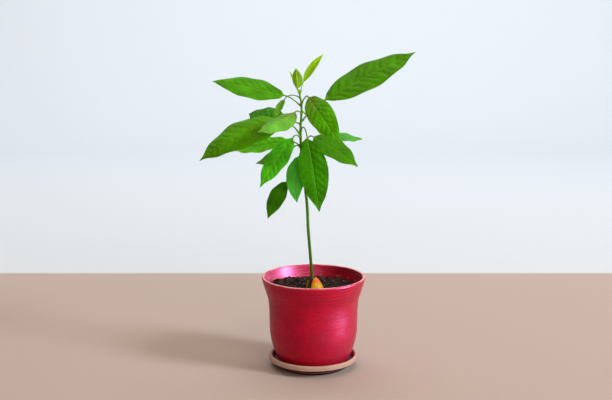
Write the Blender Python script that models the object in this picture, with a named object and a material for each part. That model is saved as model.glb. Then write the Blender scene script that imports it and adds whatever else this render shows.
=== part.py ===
# A young avocado tree grown from a stone, in a glazed pot on its saucer.
# Metres, +Z up. The origin is the middle of the saucer's flat underside, and the tree is seen along +Y.
# Headings are degrees seen from above: 0 is to the right, 90 away, 180 to the left, 270 towards the viewer.
import math

import bmesh
import bpy
import numpy as np

# Clearance between pieces that touch
GAP = 0.0003

# Saucer: foot, wall and the thick unglazed rim
SAUCER_FOOT_RADIUS = 0.050
SAUCER_RIM_RADIUS = 0.0658
SAUCER_HEIGHT = 0.018
SAUCER_FLOOR = 0.005
SAUCER_RIM_THICK = 0.0048
SAUCER_SKIRT_HEIGHT = 0.0107

# Pot: a nearly straight body that flares into a rounded lip
POT_FOOT_RADIUS = 0.0465
POT_BODY_RADIUS = 0.0654
POT_LIP_RADIUS = 0.0765
POT_LIP_HEIGHT = 0.134
POT_WALL = 0.0045
POT_FLOOR = 0.006
POT_DRAIN_RADIUS = 0.006
POT_BOTTOM = SAUCER_FLOOR + GAP

# Soil: uneven, banked up against the left of the wall, and level where the stone and the stem stand.
# Clods of three sizes stand out of it, spread evenly by the golden angle.
SOIL_LEVEL = 0.118
SOIL_BUMP = 0.0011
SOIL_BANK = 0.003
SOIL_SEAT_RADIUS = 0.0185
SOIL_RINGS = 13
CLOD_COUNT = 44
CLOD_RADIUS = 0.0075
CLOD_HEIGHT = 0.0036
GOLDEN_ANGLE = math.radians(137.5)

# Stone: two halves pushed apart by the stem, standing out of the soil.
# Each has its heading, how far it reaches from its flat face, half its length along that face,
# its height, and how far its top leans away from the stem.
STONE_HALVES = {
    "seed_half_right": (-28, 0.0137, 0.0130, 0.0155, 0.0012),
    "seed_half_left": (152, 0.0074, 0.0105, 0.0112, 0.0004),
}
STONE_SPLIT = 0.0031
STONE_ROUNDNESS = 0.85

# Stem: height, and how far right of the axis and away its middle is there
STEM_PATH = [
    (0.1185, -0.0011, 0.0),
    (0.163, -0.0042, 0.0004),
    (0.205, -0.0077, 0.0006),
    (0.243, -0.0095, 0.0),
    (0.280, -0.0134, -0.0008),
    (0.328, -0.0181, -0.0006),
    (0.357, -0.0187, 0.0),
    (0.385, -0.0173, 0.0006),
    (0.409, -0.0208, 0.0),
]
# Stem: height and radius, from the flare at the foot to the bud at the tip
STEM_TAPER = [
    (0.1185, 0.0026),
    (0.124, 0.0023),
    (0.150, 0.0022),
    (0.300, 0.0021),
    (0.409, 0.0013),
]

# Each leaf: name, height of its joint on the stem, then
# stalk: length, heading, pitch, bend, and
# blade: length, width, heading, pitch, bend, sway, roll, fold.
# Pitch is up from level, bend is how far it droops from end to end, sway the same sideways,
# roll lifts the side that is left along the leaf, and fold lifts both sides.
LEAVES = [
    ("leaf_right_high", 0.3665, (0.041, 11, 43, 20), (0.160, 0.0500, 19, 25.3, 11, -1, 38, 4)),
    ("leaf_left_high", 0.388, (0.0252, 175, 34, 25), (0.107, 0.0430, 176.5, 11, 10.5, 0, -38, 3)),
    ("leaf_left_behind_small", 0.3992, (0.025, 160, -6.5, 80), (0.0302, 0.0172, 180, -62, 17, -3, 35, 10)),
    ("leaf_left_behind", 0.361, (0.028, 136, 2, 30), (0.0775, 0.0365, 138, 4.5, 33, 13, -39, 4)),
    ("leaf_left_wide", 0.3485, (0.029, 202, 41, 30), (0.1375, 0.0545, 190.5, -23.7, 51, -4, -36, -3)),
    ("leaf_front_left", 0.377, (0.0222, 250, 10.5, 30), (0.0842, 0.0300, 230, -15.7, 20, 25, -28, -18)),
    ("leaf_left_middle", 0.3296, (0.0225, 134, 13.5, 30), (0.093, 0.0343, 158.5, -11.2, 4, -4, -33.5, 6)),
    ("leaf_front_left_low", 0.3425, (0.0152, 231, 4.5, 80), (0.0873, 0.0354, 211, -51.2, 5, -4, -26, 8)),
    ("leaf_left_behind_low", 0.3270, (0.0186, 122, -6.5, 70), (0.074, 0.0288, 147, -23.3, 0, 3, -43, 6)),
    ("leaf_left_lowest", 0.3028, (0.0323, 191.5, -51.5, 30), (0.0606, 0.0290, 202.5, -60.5, 12, -10, -31.5, 8)),
    ("leaf_front_low", 0.3205, (0.014, 262, -11.5, 70), (0.0687, 0.0277, 257, -75.8, 13.5, -25, 3, 10)),
    ("leaf_front_hanging", 0.3535, (0.0340, 288, -18.5, 120), (0.1068, 0.0420, 319, -77.8, -4, 6, 48, 10)),
    ("leaf_right_middle", 0.3335, (0.0195, 342, 42, 20), (0.0797, 0.0416, 342, -31.3, 18.5, 1, 30, 8)),
    ("leaf_front_right", 0.3912, (0.0228, 300, 33.5, 50), (0.0927, 0.0363, 311, -42, 49, 0, 49, 4)),
    ("leaf_right_behind", 0.379, (0.0605, 46, -46, 20), (0.0732, 0.0256, 37, -8.7, 2.5, 1, 28, 6)),
    ("young_leaf_right", 0.4078, (0.0138, 10, 77, 10), (0.0492, 0.0133, 6, 54, 23, -2, 50, 20)),
    ("young_leaf_middle", 0.4084, (0.0037, 234, 60, 10), (0.030, 0.0172, 240, 80.5, 0, 0, 3, 20)),
    ("young_leaf_left", 0.4078, (0.0056, 132, 54, 10), (0.0265, 0.0085, 154, 65, -12, 5, -10, 30)),
]
LEAF_THINNESS = 85
LEAF_WIDEST_POWER = 0.84
LEAF_FULLNESS = 0.85
LEAF_TIP_DRAW = 0.42
LEAF_TIP_HALF_WIDTH = 0.0005
STALK_RADIUS = 0.00065
STALK_RADIUS_PER_LENGTH = 1 / 250
STALK_STATIONS = 6
BLADE_STATIONS = (0.025, 0.06, 0.11, 0.18, 0.27, 0.37, 0.48, 0.59, 0.7, 0.8, 0.88, 0.94, 0.98, 1.0)
CURVE_STEPS = 60

POT_SEGMENTS = 48
STEM_SIDES = 10
STEM_STATIONS = 18


def clear_scene():
    for old in list(bpy.data.objects):
        bpy.data.objects.remove(old, do_unlink=True)


def finish(name, colour, roughness):
    material = bpy.data.materials.new(name)
    material.use_nodes = True
    shader = material.node_tree.nodes["Principled BSDF"]
    shader.inputs["Base Color"].default_value = (*colour, 1.0)
    shader.inputs["Roughness"].default_value = roughness
    shader.inputs["Metallic"].default_value = 0.0
    return material


def add_piece(name, shape, material):
    bmesh.ops.recalc_face_normals(shape, faces=shape.faces)
    if shape.calc_volume(signed=True) < 0:
        bmesh.ops.reverse_faces(shape, faces=shape.faces)
    mesh = bpy.data.meshes.new(name)
    shape.to_mesh(mesh)
    shape.free()
    mesh.shade_smooth()
    mesh.set_sharp_from_angle(angle=math.radians(40))
    mesh.materials.append(material)
    piece = bpy.data.objects.new(name, mesh)
    bpy.context.scene.collection.objects.link(piece)
    return piece


def ease(value):
    value = np.clip(value, 0.0, 1.0)
    return value * value * (3 - 2 * value)


def unit(vectors):
    return vectors / np.linalg.norm(vectors, axis=-1, keepdims=True)


def smooth_through(points, count):
    """A Catmull-Rom curve through the points, as count points."""
    given = np.asarray(points, float)
    ends = np.vstack([2 * given[0] - given[1], given, 2 * given[-1] - given[-2]])
    along = np.linspace(0, len(given) - 1, count)
    span = np.minimum(along.astype(int), len(given) - 2)
    part = (along - span)[:, None]
    a, b, c, d = (ends[span + k] for k in range(4))
    bend = (2 * a - 5 * b + 4 * c - d) * part**2 + (3 * b - a - 3 * c + d) * part**3
    return 0.5 * (2 * b + (c - a) * part + bend)


def arc(middle, radius, start, end, count):
    angles = np.radians(np.linspace(start, end, count))
    return [(middle[0] + radius * math.cos(a), middle[1] + radius * math.sin(a)) for a in angles]


def turned(name, outline, material, segments):
    """A closed outline of (radius, height) points, turned about the Z axis."""
    shape = bmesh.new()
    points = [shape.verts.new((radius, 0.0, height)) for radius, height in outline]
    edges = [shape.edges.new((a, b)) for a, b in zip(points, points[1:] + points[:1])]
    bmesh.ops.spin(
        shape,
        geom=points + edges,
        cent=(0, 0, 0),
        axis=(0, 0, 1),
        angle=2 * math.pi,
        steps=segments,
        use_merge=True,
    )
    bmesh.ops.remove_doubles(shape, verts=shape.verts, dist=1e-6)
    bmesh.ops.dissolve_degenerate(shape, edges=shape.edges, dist=1e-7)
    return add_piece(name, shape, material)


def level_ring(radius, height):
    angles = np.linspace(0, 2 * math.pi, POT_SEGMENTS, endpoint=False)
    return np.stack([radius * np.cos(angles), radius * np.sin(angles), 0 * angles + height], 1)


def rings_to_shape(rings):
    """Bridges a row of rings of points into one closed body with flat ends."""
    shape = bmesh.new()
    rows = [[shape.verts.new(point) for point in ring] for ring in rings]
    for low, high in zip(rows, rows[1:]):
        for k in range(len(low)):
            n = (k + 1) % len(low)
            shape.faces.new((low[k], low[n], high[n], high[k]))
    shape.faces.new(rows[0])
    shape.faces.new(rows[-1])
    return shape


def saucer_outline():
    """From the edge of the flat foot, over the rim, to the edge of the flat floor."""
    rim = SAUCER_RIM_RADIUS
    corner = SAUCER_RIM_THICK / 2
    inside = rim - SAUCER_RIM_THICK
    outline = [(SAUCER_FOOT_RADIUS, 0.0), (SAUCER_FOOT_RADIUS + 0.0015, 0.0012)]
    outline += [(rim - 0.0014, SAUCER_SKIRT_HEIGHT - 0.0006), (rim, SAUCER_SKIRT_HEIGHT + 0.002)]
    outline += arc((rim - corner, SAUCER_HEIGHT - corner), corner, 0, 180, 7)
    outline += [(inside - 0.0002, 0.012), (inside - 0.0014, 0.008)]
    outline += [(inside - 0.004, SAUCER_FLOOR + 0.0008), (inside - 0.007, SAUCER_FLOOR)]
    return outline


def pot_curve(count):
    """The outer wall from above the foot to under the lip, as (radius, height)."""
    body, lip = POT_BODY_RADIUS, POT_LIP_RADIUS
    return smooth_through(
        [
            (body - 0.0112, 0.0145),
            (body - 0.0050, 0.031),
            (body - 0.0009, 0.050),
            (body, 0.070),
            (body + 0.0004, 0.088),
            (body + 0.0021, 0.104),
            (lip - 0.0045, 0.118),
            (lip, POT_LIP_HEIGHT),
        ],
        count,
    )


def pot_radius(height):
    curve = pot_curve(60)
    return float(np.interp(height, curve[:, 1], curve[:, 0]))


def pot_inside():
    """The inner wall from under the lip down to the edge of the floor, as (radius, height)."""
    floor = POT_BOTTOM + POT_FLOOR
    heights = (0.129, SOIL_LEVEL - 0.004, 0.104, 0.092, 0.07, 0.045, 0.026)
    wall = [(pot_radius(height) - POT_WALL, height) for height in heights]
    low = wall[-1][0]
    return wall + [(low - 0.0035, floor + 0.0045), (low - 0.009, floor + 0.001), (low - 0.014, floor)]


def pot_outline():
    outer = [tuple(point) for point in pot_curve(10)]
    lip = arc((POT_LIP_RADIUS - POT_WALL / 2, POT_LIP_HEIGHT), POT_WALL / 2, 25, 180, 6)
    inner = pot_inside()
    floor = POT_BOTTOM + POT_FLOOR
    drain = [(POT_DRAIN_RADIUS, floor), (POT_DRAIN_RADIUS, POT_BOTTOM)]
    foot = [(POT_FOOT_RADIUS, POT_BOTTOM), (POT_FOOT_RADIUS + 0.0035, POT_BOTTOM + 0.0022)]
    return drain + foot + outer + lip + inner


def soil_brim():
    return pot_radius(SOIL_LEVEL - 0.004) - POT_WALL - 2 * GAP


def soil_clods(x, y):
    """How far the clods' domes rise at each place."""
    order = np.arange(CLOD_COUNT)
    inner, outer = SOIL_SEAT_RADIUS + 0.004, soil_brim() - 0.003
    reach = np.sqrt(inner**2 + (outer**2 - inner**2) * (order + 0.5) / CLOD_COUNT)
    turn = order * GOLDEN_ANGLE
    size = 0.5 + 0.25 * (order % 3)
    apart = np.hypot(x[:, None] - reach * np.cos(turn), y[:, None] - reach * np.sin(turn))
    domes = np.sqrt(np.clip(1 - (apart / (CLOD_RADIUS * size)) ** 2, 0, 1))
    return (CLOD_HEIGHT * size * domes).max(1)


def soil_height(x, y):
    """The uneven top of the soil, level where the stone and the stem stand."""
    ripple = np.sin(170 * x + 1.1) * np.sin(140 * y + 0.4) + 0.6 * np.sin(260 * x - 190 * y)
    bank = SOIL_BANK * ease((-x - 0.025) / 0.04)
    away = ease((np.hypot(x, y) - SOIL_SEAT_RADIUS) / 0.004)
    return SOIL_LEVEL + away * (SOIL_BUMP * ripple + bank + soil_clods(x, y))


def soil_shape():
    """Fills the pot's inside from its floor to the soil's top, a little clear of the wall."""
    rings = [level_ring(radius - 2 * GAP, height + GAP) for radius, height in pot_inside()[:0:-1]]
    for radius in np.linspace(soil_brim() - 0.0005, SOIL_SEAT_RADIUS, SOIL_RINGS):
        ring = level_ring(radius, 0.0)
        ring[:, 2] = soil_height(ring[:, 0], ring[:, 1])
        rings.append(ring)
    return rings_to_shape(rings)


def stone_half_shape(heading, reach, half_length, height, lean):
    """A half dome with a flat foot, and a flat face that leans away from the stem."""
    turn = math.radians(heading)
    out_of = np.array([math.cos(turn), math.sin(turn), 0.0])
    along = np.array([-math.sin(turn), math.cos(turn), 0.0])
    foot = SOIL_LEVEL + GAP
    shape = bmesh.new()
    for level in np.linspace(0, 1, 7):
        middle = stem_middle(foot + level * height)
        slim = math.sqrt(1 - level**STONE_ROUNDNESS)
        for angle in np.radians(np.linspace(-90, 90, 9)):
            away = STONE_SPLIT + lean * level + reach * slim * math.cos(angle)
            across = half_length * (0.2 + 0.8 * slim) * math.sin(angle)
            shape.verts.new(middle + away * out_of + across * along)
    hull = bmesh.ops.convex_hull(shape, input=shape.verts)
    spare = set(hull["geom_interior"] + hull["geom_unused"])
    bmesh.ops.delete(shape, geom=[v for v in spare if isinstance(v, bmesh.types.BMVert)], context="VERTS")
    bmesh.ops.remove_doubles(shape, verts=shape.verts, dist=1e-5)
    return shape


def stem_curve(count):
    return smooth_through([(x, y, height) for height, x, y in STEM_PATH], count)


def stem_middle(height):
    curve = stem_curve(120)
    return np.array([np.interp(height, curve[:, 2], curve[:, k]) for k in (0, 1, 2)])


def stem_radius(height):
    heights, radii = zip(*STEM_TAPER)
    return np.interp(height, heights, radii)


def stem_shape():
    curve = stem_curve(STEM_STATIONS)
    angles = np.linspace(0, 2 * math.pi, STEM_SIDES, endpoint=False)
    rings = []
    for x, y, height in curve:
        radius = stem_radius(height)
        ring = [x + radius * np.cos(angles), y + radius * np.sin(angles), 0 * angles + height]
        rings.append(np.stack(ring, 1))
    return rings_to_shape(rings)


def pointing(pitch, heading):
    pitch, heading = np.radians(pitch), np.radians(heading)
    level = np.cos(pitch)
    return np.stack([level * np.cos(heading), level * np.sin(heading), np.sin(pitch)], -1)


def run_along(start, directions, length):
    """The points reached by walking length from start along the directions."""
    steps = 0.5 * (directions[1:] + directions[:-1]) * length / (len(directions) - 1)
    return start + np.vstack([np.zeros(3), np.cumsum(steps, 0)])


def blade_frames(heading, pitch, bend, sway, roll):
    """Directions along the blade, to its left side and out of its upper face, at each step."""
    forward = pointing(pitch, heading)
    level = np.array([-math.sin(math.radians(heading)), math.cos(math.radians(heading)), 0.0])
    upright = np.cross(forward, level)
    roll = math.radians(roll)
    side = level * math.cos(roll) + upright * math.sin(roll)
    face = upright * math.cos(roll) - level * math.sin(roll)
    half = 0.5 - np.linspace(0, 1, CURVE_STEPS)[:, None]
    droop, swing = np.radians(bend) * half, np.radians(sway) * half
    along = np.cos(swing) * (np.cos(droop) * forward + np.sin(droop) * face) + np.sin(swing) * side
    faces = unit(np.cos(droop) * face - np.sin(droop) * forward)
    sides = unit(np.cross(faces, along))
    return unit(along), sides, np.cross(along, sides)


def half_width(along, width):
    """Widest just before the middle, round towards the stalk, drawn out to the tip."""
    drawn = 1 - LEAF_TIP_DRAW * ease((along - 0.8) / 0.2)
    return 0.5 * width * drawn * np.sin(math.pi * along**LEAF_WIDEST_POWER) ** LEAF_FULLNESS


def leaf_shape(joint, stalk, blade):
    stalk_length, stalk_heading, stalk_pitch, stalk_bend = stalk
    length, width, heading, pitch, bend, sway, roll, fold = blade
    radius = STALK_RADIUS + STALK_RADIUS_PER_LENGTH * length
    along, sides, faces = blade_frames(heading, pitch, bend, sway, roll)

    # The stalk sets out from the stem and turns into the blade's own direction at its end
    part = np.linspace(0, 1, CURVE_STEPS)[:, None]
    pitches = stalk_pitch + stalk_bend * (0.5 - part[:, 0])
    out = pointing(pitches, np.full(CURVE_STEPS, float(stalk_heading)))
    joining = ease((part - 0.7) / 0.3)
    out = unit(out * (1 - joining) + along[0] * joining)
    tilt = radius * abs(math.sin(math.radians(pitches[0])))
    clear = stem_radius(joint) + GAP + tilt
    start = stem_middle(joint) + clear * pointing(0, stalk_heading)
    stalk_points = run_along(start, out, stalk_length)
    blade_points = run_along(stalk_points[-1], along, length)

    # Six points a ring: three along the upper face and three back along the lower one
    turn = np.radians([150, 90, 30, -30, -90, -150])
    across = np.array([-1, 0, 1, 1, 0, -1])
    above = np.array([1, 1, 1, -1, -1, -1])
    round_ring = radius * np.stack([np.cos(turn), np.sin(turn)])
    rings = []
    for step in np.linspace(0, CURVE_STEPS - 1, STALK_STATIONS).astype(int):
        ahead = out[step]
        side = unit(sides[0] - ahead * (sides[0] @ ahead))
        face = np.cross(ahead, side)
        rings.append(stalk_points[step] + np.outer(round_ring[0], side) + np.outer(round_ring[1], face))
    thick = length / LEAF_THINNESS
    lift = math.radians(fold)
    for station in BLADE_STATIONS:
        step = int(round(station * (CURVE_STEPS - 1)))
        flat = ease(station / 0.08)
        half = math.hypot(half_width(min(station, 0.999), width), LEAF_TIP_HALF_WIDTH)
        reach = flat * across * half * math.cos(lift) + (1 - flat) * round_ring[0]
        rise = flat * (0.5 * thick * above + np.abs(across) * half * math.sin(lift))
        rise = rise + (1 - flat) * round_ring[1]
        rings.append(blade_points[step] + np.outer(reach, sides[step]) + np.outer(rise, faces[step]))
    return rings_to_shape(rings)


clear_scene()
glaze = finish("crimson_glaze", (0.42, 0.012, 0.035), 0.35)
clay = finish("pale_clay", (0.70, 0.55, 0.50), 0.8)
earth = finish("potting_soil", (0.035, 0.022, 0.015), 0.95)
seed = finish("seed_flesh", (0.70, 0.33, 0.05), 0.4)
bark = finish("green_bark", (0.16, 0.26, 0.03), 0.5)
leaf = finish("leaf_green", (0.08, 0.28, 0.02), 0.4)
young = finish("young_leaf_green", (0.28, 0.48, 0.03), 0.4)

add_piece("saucer", rings_to_shape([level_ring(*point) for point in saucer_outline()]), clay)
turned("pot", pot_outline(), glaze, POT_SEGMENTS)
add_piece("soil", soil_shape(), earth)
for half_name, half in STONE_HALVES.items():
    add_piece(half_name, stone_half_shape(*half), seed)
add_piece("stem", stem_shape(), bark)
for leaf_name, joint_height, leaf_stalk, leaf_blade in LEAVES:
    green = young if leaf_name.startswith("young") else leaf
    add_piece(leaf_name, leaf_shape(joint_height, leaf_stalk, leaf_blade), green)
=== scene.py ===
import math

import bpy
import numpy as np
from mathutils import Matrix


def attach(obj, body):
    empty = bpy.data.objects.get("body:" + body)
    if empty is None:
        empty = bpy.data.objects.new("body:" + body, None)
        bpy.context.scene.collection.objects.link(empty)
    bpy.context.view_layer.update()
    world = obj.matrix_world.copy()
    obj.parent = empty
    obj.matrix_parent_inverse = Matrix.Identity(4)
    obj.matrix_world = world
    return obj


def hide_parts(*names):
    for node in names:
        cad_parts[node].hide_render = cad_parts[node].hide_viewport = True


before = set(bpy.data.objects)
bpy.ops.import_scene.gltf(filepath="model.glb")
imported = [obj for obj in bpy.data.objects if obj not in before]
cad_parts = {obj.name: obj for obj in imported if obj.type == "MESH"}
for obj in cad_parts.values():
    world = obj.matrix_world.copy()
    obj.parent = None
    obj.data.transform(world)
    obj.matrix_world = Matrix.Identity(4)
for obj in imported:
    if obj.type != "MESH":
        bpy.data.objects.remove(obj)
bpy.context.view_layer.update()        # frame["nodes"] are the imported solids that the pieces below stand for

goldenAngle = math.radians(137.5)      # sets things round an axis so that no two line up
touchGap = 0.0003        # how far apart the solids keep where they touch
print("frame loaded:", len(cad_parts), "solids")


def srgb(red, green, blue):
    # A picture's colour, 0 to 255, as the linear one that shaders take.
    return tuple(((v / 255 + 0.055) / 1.055) ** 2.4 if v > 10 else v / 3294.6 for v in (red, green, blue))


def ease(value):
    # Rises from 0 to 1 with a smooth start and end.
    value = np.clip(value, 0.0, 1.0)
    return value * value * (3 - 2 * value)


def bell(distance, width):
    # 1 in the middle, falling smoothly to nothing about two widths away.
    return np.exp(-((distance / width) ** 2))


def unit(vectors):
    return vectors / np.linalg.norm(vectors, axis=-1, keepdims=True)


def smoothThrough(points, count):
    # A Catmull-Rom curve: each span is the cubic that meets its two points along their neighbours' chords.
    given = np.asarray(points, float)
    ends = np.vstack([2 * given[0] - given[1], given, 2 * given[-1] - given[-2]])
    along = np.linspace(0, len(given) - 1, count)
    span = np.minimum(along.astype(int), len(given) - 2)
    part = (along - span)[:, None]
    a, b, c, d = (ends[span + k] for k in range(4))
    bend = (2 * a - 5 * b + 4 * c - d) * part**2 + (3 * b - a - 3 * c + d) * part**3
    return 0.5 * (2 * b + (c - a) * part + bend)


def ruffle(points, size, seed, waves=14):
    # Smooth noise of about -1 to 1: sine waves of about one size, added up in seeded random directions.
    dice = np.random.default_rng(seed)
    ways = unit(dice.normal(size=(waves, 3))) * dice.uniform(0.6, 1.5, (waves, 1)) * 2 * np.pi / size
    return np.sin(points @ ways.T + dice.uniform(0, 6.28, waves)).sum(-1) / math.sqrt(waves)


def arc(middle, radius, start, end, count):
    # Points (across, height) on a circle round the middle, from one angle to the other.
    angle = np.radians(np.linspace(start, end, count))
    return np.stack([middle[0] + radius * np.cos(angle), middle[1] + radius * np.sin(angle)], 1)


def gridFaces(rows, columns, closed=False):
    # Quads between the neighbours in a grid of rings. Columns close round, and rows too where asked.
    index = np.arange(rows * columns).reshape(rows, columns)
    onward = np.roll(index, -1, 1)
    end = rows if closed else rows - 1
    corners = [index, onward, np.roll(onward, -1, 0), np.roll(index, -1, 0)]
    return np.stack(corners, -1)[:end].reshape(-1, 4).tolist()


def loft(rings):
    # One closed body over an array of rings, with a fan of triangles to each end's middle.
    rows, columns = rings.shape[:2]
    ring = np.arange(columns)
    onward = np.roll(ring, -1)
    top = (rows - 1) * columns
    first, last = np.full(columns, rows * columns), np.full(columns, rows * columns + 1)
    points = np.vstack([rings.reshape(-1, 3), rings[0].mean(0), rings[-1].mean(0)])
    fans = np.vstack([np.stack([onward, ring, first], 1), np.stack([ring + top, onward + top, last], 1)])
    return points, gridFaces(rows, columns) + fans.tolist()


def overLoft(values):
    # A value for each point of a loft: the rings', then the mean of each end ring.
    flat = values.reshape(-1, *values.shape[2:])
    return np.concatenate([flat, values[:1].mean(1), values[-1:].mean(1)])


def fullTurn(count):
    # Angles that share a whole turn out evenly.
    return np.linspace(0, 2 * np.pi, count, endpoint=False)


def turned(outline, segments):
    # A ring round the Z axis for each (radius, height) of an outline.
    angle = fullTurn(segments)
    radius, height = np.asarray(outline).T[:, :, None]
    return np.stack([radius * np.cos(angle), radius * np.sin(angle), height + 0 * angle], -1)


def show(thing):
    bpy.context.scene.collection.objects.link(thing)


def addPiece(name, shape, material, nodes=(), fields=None, uv=None, sharp=40):
    # Puts points and faces into a mesh whose faces point outwards, with its fields as named attributes.
    points, faces = shape
    mesh = bpy.data.meshes.new(name)
    mesh.from_pydata(points.tolist(), [], faces)
    mesh.calc_loop_triangles()
    triangles = np.empty(len(mesh.loop_triangles) * 3, np.int32)
    mesh.loop_triangles.foreach_get("vertices", triangles)
    a, b, c = points[triangles.reshape(-1, 3)].transpose(1, 0, 2)
    if np.einsum("ij,ij->", a, np.cross(b, c)) < 0:
        mesh.flip_normals()
    for label, values in (fields or {}).items():
        kind, key = ("FLOAT_COLOR", "color") if values.ndim > 1 else ("FLOAT", "value")
        mesh.attributes.new(label, kind, "POINT").data.foreach_set(key, values.astype(np.float32).ravel())
    if uv is not None:
        corner = np.empty(len(mesh.loops), np.int32)
        mesh.loops.foreach_get("vertex_index", corner)
        mesh.uv_layers.new(name="veinMap").data.foreach_set("uv", uv[corner].astype(np.float32).ravel())
    mesh.shade_smooth()
    mesh.set_sharp_from_angle(angle=math.radians(sharp))
    mesh.materials.append(material)
    piece = bpy.data.objects.new(name, mesh)
    show(piece)
    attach(piece, "root")
    if nodes:
        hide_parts(*nodes)


def put(tree, kind, inputs=None, **settings):
    # Adds a node. An input is a value, or the output of another node.
    node = tree.nodes.new(kind)
    for key, value in settings.items():
        setattr(node, key, value)
    for key, value in (inputs or {}).items():
        if isinstance(value, bpy.types.NodeSocket):
            tree.links.new(value, node.inputs[key])
        else:
            node.inputs[key].default_value = value
    return node


def calc(tree, operation, *values):
    return put(tree, "ShaderNodeMath", dict(enumerate(values)), operation=operation).outputs[0]


def times(tree, first, second):
    return calc(tree, "MULTIPLY", first, second)


def timesPlus(tree, first, second, third):
    return calc(tree, "MULTIPLY_ADD", first, second, third)


def blendColour(tree, amount, first, second, mode="MIX"):
    paints = [(*c, 1.0) if isinstance(c, tuple) else c for c in (first, second)]
    wires = {0: amount, 6: paints[0], 7: paints[1]}
    return put(tree, "ShaderNodeMix", wires, data_type="RGBA", blend_type=mode).outputs[2]


def layers(tree, colour, *coats):
    # Lays paints over a colour in turn. Each goes as far as its mask says, and a share scales the mask.
    for paint, mask, *share in coats:
        colour = blendColour(tree, times(tree, mask, share[0]) if share else mask, colour, paint)
    return colour


def rise(tree, value, low, high, out=(0.0, 1.0)):
    # Turns low..high into out, smoothly, and holds it outside.
    wires = {0: value, 1: low, 2: high, 3: out[0], 4: out[1]}
    return put(tree, "ShaderNodeMapRange", wires, interpolation_type="SMOOTHSTEP").outputs[0]


def split(tree, vector):
    return put(tree, "ShaderNodeSeparateXYZ", {0: vector}).outputs


def field(tree, label, output="Fac"):
    return put(tree, "ShaderNodeAttribute", attribute_name=label).outputs[output]


def noise(tree, vector, scale, detail):
    return put(tree, "ShaderNodeTexNoise", {"Vector": vector, "Scale": scale, "Detail": detail}).outputs[0]


def newGroup(name, inputs, outputs):
    # A node group. Its inputs are numbers with their defaults, or vectors where there is None.
    tree = bpy.data.node_groups.new(name, "ShaderNodeTree")
    for label, default in inputs.items():
        kind = "NodeSocketVector" if default is None else "NodeSocketFloat"
        socket = tree.interface.new_socket(label, in_out="INPUT", socket_type=kind)
        if default is not None:
            socket.default_value = default
    for label in outputs:
        tree.interface.new_socket(label, in_out="OUTPUT", socket_type="NodeSocketFloat")
    return tree, tree.nodes.new("NodeGroupInput").outputs, tree.nodes.new("NodeGroupOutput").inputs


def useGroup(tree, group, inputs):
    return put(tree, "ShaderNodeGroup", inputs, node_tree=group).outputs


def mottleGroup():
    # Two sizes of cloudy noise mixed, then spread over 0 to 1.
    tree, given, out = newGroup("mottle", {"Place": None, "Scale": 100.0, "Contrast": 0.5}, ["Mask"])
    broad = noise(tree, given["Place"], given["Scale"], 5.0)
    fine = noise(tree, given["Place"], times(tree, given["Scale"], 5.3), 3.0)
    mixed = timesPlus(tree, fine, 0.35, times(tree, broad, 0.65))
    low = timesPlus(tree, given["Contrast"], 0.36, 0.1)
    tree.links.new(rise(tree, mixed, low, calc(tree, "SUBTRACT", 1.0, low)), out["Mask"])
    return tree


def speckGroup():
    # Round specks: a Voronoi cell's own number says whether it has one, and its distance makes it round.
    inputs = {"Place": None, "Scale": 300.0, "Share": 0.3, "Size": 0.3}
    tree, given, out = newGroup("specks", inputs, ["Mask"])
    cells = put(tree, "ShaderNodeTexVoronoi", {"Vector": given["Place"], "Scale": given["Scale"]})
    parts = put(tree, "ShaderNodeSeparateColor", {0: cells.outputs["Color"]})
    chosen = calc(tree, "LESS_THAN", parts.outputs[0], given["Share"])
    dot = rise(tree, cells.outputs["Distance"], given["Size"], 0.0)
    tree.links.new(times(tree, chosen, dot), out["Mask"])
    return tree


def veinGroup():
    # Side veins lie where the map's first number is whole, and the midrib where its second, the distance
    # from it in millimetres, is small. A fine net of Voronoi edges fills in between.
    tree, given, out = newGroup(
        "leafVeins",
        {"Map": None, "Edge": 0.0, "Place": None, "Vein width": 0.06, "Rib width": 0.8, "Net scale": 420.0},
        ["Vein", "Rib", "Net", "Height"],
    )
    axes = split(tree, given["Map"])
    toVein = calc(tree, "PINGPONG", axes[0], 0.5)
    width = times(tree, given["Vein width"], timesPlus(tree, given["Edge"], -0.7, 1.0))
    fade = rise(tree, given["Edge"], 0.95, 0.6)
    vein = times(tree, rise(tree, toVein, width, 0.0), fade)
    rib = rise(tree, axes[1], given["Rib width"], 0.0)
    cells = {"Vector": given["Place"], "Scale": given["Net scale"]}
    edges = put(tree, "ShaderNodeTexVoronoi", cells, feature="DISTANCE_TO_EDGE").outputs["Distance"]
    net = rise(tree, edges, 0.12, 0.0)
    lines = calc(tree, "MAXIMUM", vein, rib)
    tree.links.new(vein, out["Vein"])
    tree.links.new(rib, out["Rib"])
    tree.links.new(net, out["Net"])
    tree.links.new(timesPlus(tree, net, 0.25, lines), out["Height"])
    return tree


mottle, specks, veins = mottleGroup(), speckGroup(), veinGroup()


def clouds(tree, spot, scale, contrast):
    return useGroup(tree, mottle, {"Place": spot, "Scale": scale, "Contrast": contrast})["Mask"]


def dots(tree, spot, scale, share, size):
    return useGroup(tree, specks, {"Place": spot, "Scale": scale, "Share": share, "Size": size})["Mask"]


def newMaterial(name, **constants):
    # A Principled material, its nodes and its object coordinates. Numbers that are the same all over go on
    # the shader's own sockets.
    material = bpy.data.materials.new(name)
    material.use_nodes = True
    tree = material.node_tree
    for label, value in constants.items():
        tree.nodes["Principled BSDF"].inputs[label.replace("_", " ")].default_value = value
    return material, tree, put(tree, "ShaderNodeTexCoord").outputs["Object"]


def dress(material, colour, roughness, height, depth):
    # Joins colour and roughness to the shader, and a height through a bump of that depth in metres.
    tree = material.node_tree
    sockets = tree.nodes["Principled BSDF"].inputs
    bump = put(tree, "ShaderNodeBump", {"Height": height, "Strength": 1.0, "Distance": depth})
    for label, wire in (("Base Color", colour), ("Roughness", roughness), ("Normal", bump.outputs[0])):
        tree.links.new(wire, sockets[label])
    return material


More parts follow.
